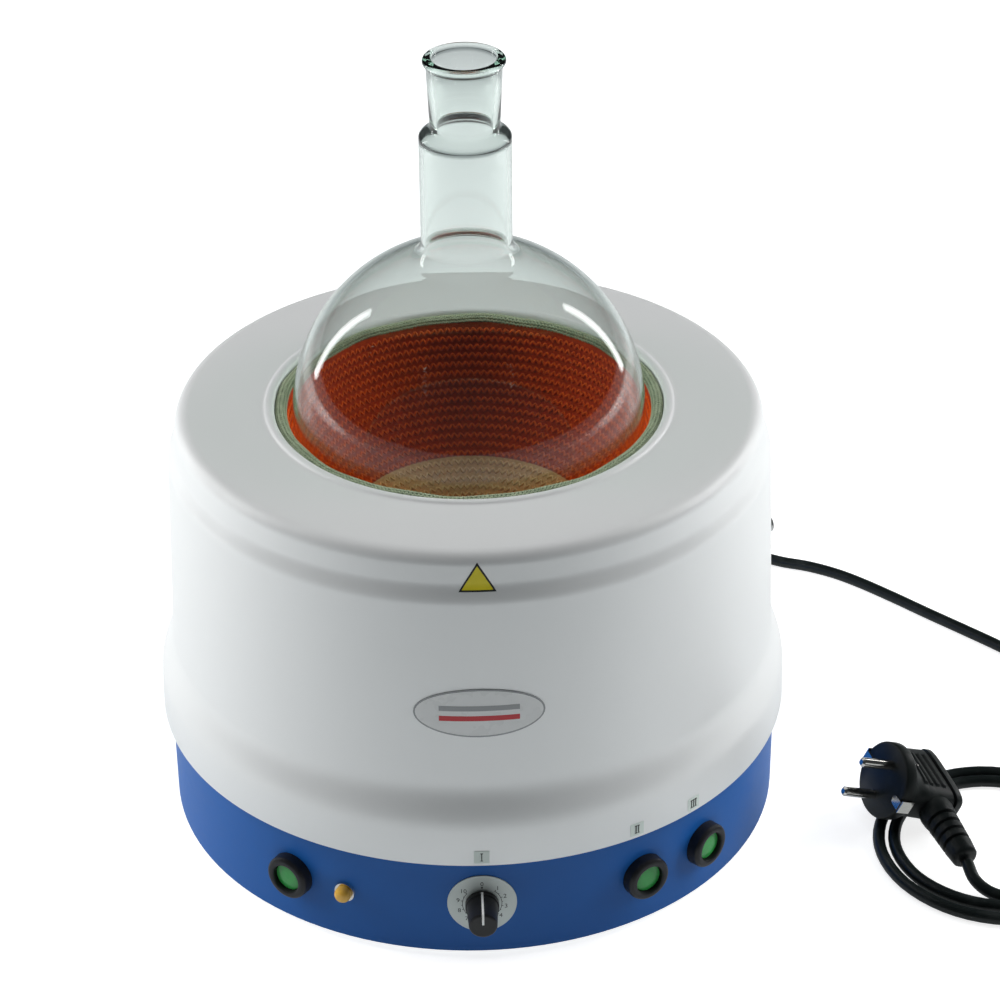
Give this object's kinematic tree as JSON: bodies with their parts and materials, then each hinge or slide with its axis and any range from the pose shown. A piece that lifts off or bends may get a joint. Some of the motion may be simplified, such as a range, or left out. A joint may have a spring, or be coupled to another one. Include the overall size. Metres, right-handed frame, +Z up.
{
  "type": "electric heating mantle with round-bottom flask",
  "caption": "Round laboratory heating mantle with a woven heated bowl, panel with dial, buttons and pilot lamp, mains lead with plug, and a round-bottom flask standing in the bowl.",
  "frame": {"origin": "on the mantle's vertical axis, at bench level under the rubber feet", "axes": "+Z up along the axis of the bowl and flask, -Y towards the front panel with the dial, +X to the right as seen from the front"},
  "size_m": [0.501, 0.3639, 0.386],
  "materials": {
    "blue_paint": "satin blue enamel",
    "pale_powder_coat": "fine-textured pale grey powder coat",
    "zinc_sheet": "zinc-plated sheet",
    "screw_steel": "zinc-plated screws",
    "black_rubber": "matt rubber",
    "gasket_felt": "white ceramic-fibre felt",
    "collar_cloth": "woven glass-fibre tape, pale green",
    "bowl_cloth": "knitted heating fabric, burnt orange",
    "centre_cloth": "knitted heating fabric, tan",
    "heating_wire": "braided heating conductor",
    "mineral_wool": "needled mineral wool",
    "cup_aluminium": "spun aluminium",
    "glass_sleeve": "braided glass sleeve",
    "black_plastic": "moulded black",
    "green_lens": "translucent green",
    "nickel": "bright nickel",
    "amber_lens": "translucent amber",
    "white_plastic": "plain white",
    "dial_metal": "matt anodised with printed scale",
    "knob_plastic": "fine-ribbed black",
    "board_green": "solder-masked laminate",
    "terminal_ceramic": "unglazed ceramic",
    "badge_plate": "plain domed badge",
    "pad_brass": "turned brass",
    "lead_rubber": "smooth black sheath",
    "plug_plastic": "moulded black thermoplastic",
    "flask_glass": "clear borosilicate glass with a green tint at its edges"
  },
  "bodies": {
    "mantle": {"base_ring": "blue_paint", "base_plate": "zinc_sheet", "rubber_feet": "black_rubber", "foot_screws": "screw_steel", "plate_screws": "screw_steel", "bulkhead": "zinc_sheet", "housing_shell": "pale_powder_coat", "housing_brackets": "zinc_sheet", "rim_gasket": "gasket_felt", "fabric_collar": "collar_cloth", "bowl_fabric": "bowl_cloth", "bowl_centre_fabric": "centre_cloth", "heater_zone_1": "heating_wire", "heater_zone_2": "heating_wire", "heater_zone_3": "heating_wire", "insulation_blanket": "mineral_wool", "bowl_cup": "cup_aluminium", "support_ring": "zinc_sheet", "support_posts": "zinc_sheet", "post_screws": "screw_steel", "lead_sleeve": "glass_sleeve", "switch_bezel_1": "black_plastic", "switch_bezel_2": "black_plastic", "switch_bezel_3": "black_plastic", "switch_bodies": "black_plastic", "switch_nuts": "black_plastic", "pilot_bezel": "nickel", "pilot_lens": "amber_lens", "pilot_body": "white_plastic", "dial_plate": "dial_metal", "pot_body": "nickel", "pot_nut": "nickel", "control_board": "board_green", "board_spacers": "white_plastic", "heat_sink": "cup_aluminium", "terminal_block": "terminal_ceramic", "zone_labels": "white_plastic", "badge": "badge_plate", "rod_clamp": "pale_powder_coat", "clamp_bolts": "screw_steel", "cable_gland": "black_plastic", "gland_nut": "black_plastic", "strain_relief": "black_plastic", "lead_tube": "lead_rubber", "lead_coil": "lead_rubber", "plug_lead": "lead_rubber", "plug_body": "plug_plastic", "plug_pins": "nickel", "plug_earth_clips": "nickel", "plug_boot": "plug_plastic"},
    "flask": {"flask_bulb": "flask_glass", "flask_neck": "flask_glass"},
    "dial_knob": {"knob": "knob_plastic", "knob_pointer": "white_plastic", "pot_shaft": "nickel"},
    "button_1": {"switch_button_1": "green_lens"},
    "button_2": {"switch_button_2": "green_lens"},
    "button_3": {"switch_button_3": "green_lens"},
    "clamp_pad": {"clamp_pad": "pad_brass"},
    "clamp_screw": {"clamp_screw": "screw_steel"}
  },
  "joints": [
    {"name": "flask_lift", "type": "slide", "parent": "mantle", "child": "flask", "axis": [0, 0, 1], "range_m": [0, 0.15]},
    {"name": "knob_turn", "type": "hinge", "parent": "mantle", "child": "dial_knob", "pos_m": [0, -0.149, 0.032], "axis": [0, 1, 0], "range_deg": [0, 310]},
    {"name": "button_1_press", "type": "slide", "parent": "mantle", "child": "button_1", "axis": [0.5878, 0.809, 0], "range_m": [0, 0.0025], "stiffness_N_per_m": 500},
    {"name": "button_2_press", "type": "slide", "parent": "mantle", "child": "button_2", "axis": [-0.5075, 0.8616, 0], "range_m": [0, 0.0025], "stiffness_N_per_m": 500},
    {"name": "button_3_press", "type": "slide", "parent": "mantle", "child": "button_3", "axis": [-0.7071, 0.7071, 0], "range_m": [0, 0.0025], "stiffness_N_per_m": 500},
    {"name": "clamp_feed", "type": "slide", "parent": "mantle", "child": "clamp_pad", "axis": [-0.9135, -0.4067, 0], "range_m": [0, 0.0024]},
    {"name": "clamp_turn", "type": "hinge", "parent": "clamp_pad", "child": "clamp_screw", "pos_m": [0.15165, 0.06752, 0.099], "axis": [-0.9135, -0.4067, 0], "range_deg": [0, 1080]}
  ],
  "couplings": [
    {"joint": "clamp_turn", "follows": "clamp_feed", "rad_per_m": 7854}
  ]
}
